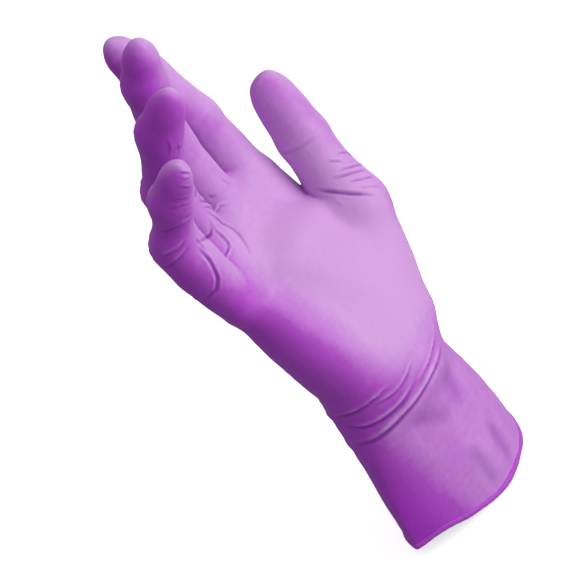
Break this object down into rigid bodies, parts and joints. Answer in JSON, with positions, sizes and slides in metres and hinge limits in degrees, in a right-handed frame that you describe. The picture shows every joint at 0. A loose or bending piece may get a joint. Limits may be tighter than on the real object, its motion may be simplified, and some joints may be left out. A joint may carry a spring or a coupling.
{
  "type": "disposable glove",
  "caption": "Thin stretch-film exam glove for a right hand, in worn shape, with a beaded open cuff and sleeves that bend at each finger crease.",
  "frame": {"origin": "centre of the cuff mouth, level with the underside of the rolled bead", "axes": "+Z along the forearm from the cuff towards the fingers, -Y the palm side, +X the thumb side"},
  "size_m": [0.1013, 0.0758, 0.2296],
  "materials": {
    "nitrile_film": "satin",
    "nitrile_bead": "satin"
  },
  "bodies": {
    "cuff": {"cuff_bead": "nitrile_bead", "cuff": "nitrile_film"},
    "palm": {"wrist_fold": "nitrile_film", "palm": "nitrile_film"},
    "index_base": {"index_base": "nitrile_film"},
    "index_middle": {"index_middle": "nitrile_film"},
    "index_tip": {"index_tip": "nitrile_film"},
    "middle_base": {"middle_base": "nitrile_film"},
    "middle_middle": {"middle_middle": "nitrile_film"},
    "middle_tip": {"middle_tip": "nitrile_film"},
    "ring_base": {"ring_base": "nitrile_film"},
    "ring_middle": {"ring_middle": "nitrile_film"},
    "ring_tip": {"ring_tip": "nitrile_film"},
    "little_base": {"little_base": "nitrile_film"},
    "little_middle": {"little_middle": "nitrile_film"},
    "little_tip": {"little_tip": "nitrile_film"},
    "thumb_base": {"thumb_base": "nitrile_film"},
    "thumb_middle": {"thumb_middle": "nitrile_film"},
    "thumb_tip": {"thumb_tip": "nitrile_film"}
  },
  "joints": [
    {"name": "wrist", "type": "hinge", "parent": "cuff", "child": "palm", "pos_m": [-0.003, 0.0005, 0.0589], "axis": [1, 0, 0], "range_deg": [-20, 48]},
    {"name": "index_mcp", "type": "hinge", "parent": "palm", "child": "index_base", "pos_m": [0.02573, 0.02438, 0.13671], "axis": [0.9988, 0.0169, 0.0458], "range_deg": [-20, 27]},
    {"name": "index_pip", "type": "hinge", "parent": "index_base", "child": "index_middle", "pos_m": [0.02364, 0.03073, 0.17979], "axis": [0.9988, 0.0169, 0.0458], "range_deg": [-2, 86]},
    {"name": "index_dip", "type": "hinge", "parent": "index_middle", "child": "index_tip", "pos_m": [0.0224, 0.04007, 0.20349], "axis": [0.9988, 0.0169, 0.0458], "range_deg": [-1, 43]},
    {"name": "middle_mcp", "type": "hinge", "parent": "palm", "child": "middle_base", "pos_m": [0.00522, 0.02725, 0.13584], "axis": [0.9956, 0.0326, 0.0883], "range_deg": [-22, 44]},
    {"name": "middle_pip", "type": "hinge", "parent": "middle_base", "child": "middle_middle", "pos_m": [0.00102, 0.03051, 0.18203], "axis": [0.9956, 0.0326, 0.0883], "range_deg": [-22, 58]},
    {"name": "middle_dip", "type": "hinge", "parent": "middle_middle", "child": "middle_tip", "pos_m": [-0.00121, 0.02145, 0.21054], "axis": [0.9956, 0.0326, 0.0883], "range_deg": [-11, 29]},
    {"name": "ring_mcp", "type": "hinge", "parent": "palm", "child": "ring_base", "pos_m": [-0.01479, 0.02336, 0.13108], "axis": [0.9951, 0.0345, 0.0932], "range_deg": [-22, 44]},
    {"name": "ring_pip", "type": "hinge", "parent": "ring_base", "child": "ring_middle", "pos_m": [-0.01889, 0.02629, 0.17378], "axis": [0.9951, 0.0345, 0.0932], "range_deg": [-36, 44]},
    {"name": "ring_dip", "type": "hinge", "parent": "ring_middle", "child": "ring_tip", "pos_m": [-0.02063, 0.01128, 0.19795], "axis": [0.9951, 0.0345, 0.0932], "range_deg": [-18, 22]},
    {"name": "little_mcp", "type": "hinge", "parent": "palm", "child": "little_base", "pos_m": [-0.03256, 0.01627, 0.12487], "axis": [0.9945, 0.0363, 0.098], "range_deg": [-20, 48]},
    {"name": "little_pip", "type": "hinge", "parent": "little_base", "child": "little_middle", "pos_m": [-0.03619, 0.02151, 0.15979], "axis": [0.9945, 0.0363, 0.098], "range_deg": [-41, 38]},
    {"name": "little_dip", "type": "hinge", "parent": "little_middle", "child": "little_tip", "pos_m": [-0.03754, 0.00981, 0.17778], "axis": [0.9945, 0.0363, 0.098], "range_deg": [-20.5, 19]},
    {"name": "thumb_cmc", "type": "hinge", "parent": "palm", "child": "thumb_base", "pos_m": [0.02078, -0.00687, 0.07674], "axis": [-0.2562, 0.9611, -0.1028], "range_deg": [-6, 10]},
    {"name": "thumb_mcp", "type": "hinge", "parent": "thumb_base", "child": "thumb_middle", "pos_m": [0.03633, 0.00159, 0.11702], "axis": [-0.2562, 0.9611, -0.1028], "range_deg": [-28, 15]},
    {"name": "thumb_ip", "type": "hinge", "parent": "thumb_middle", "child": "thumb_tip", "pos_m": [0.04228, 0.00671, 0.1501], "axis": [-0.2562, 0.9611, -0.1028], "range_deg": [-58, 14]}
  ],
  "couplings": [
    {"joint": "index_dip", "follows": "index_pip", "ratio": 0.5},
    {"joint": "middle_dip", "follows": "middle_pip", "ratio": 0.5},
    {"joint": "ring_dip", "follows": "ring_pip", "ratio": 0.5},
    {"joint": "little_dip", "follows": "little_pip", "ratio": 0.5}
  ]
}
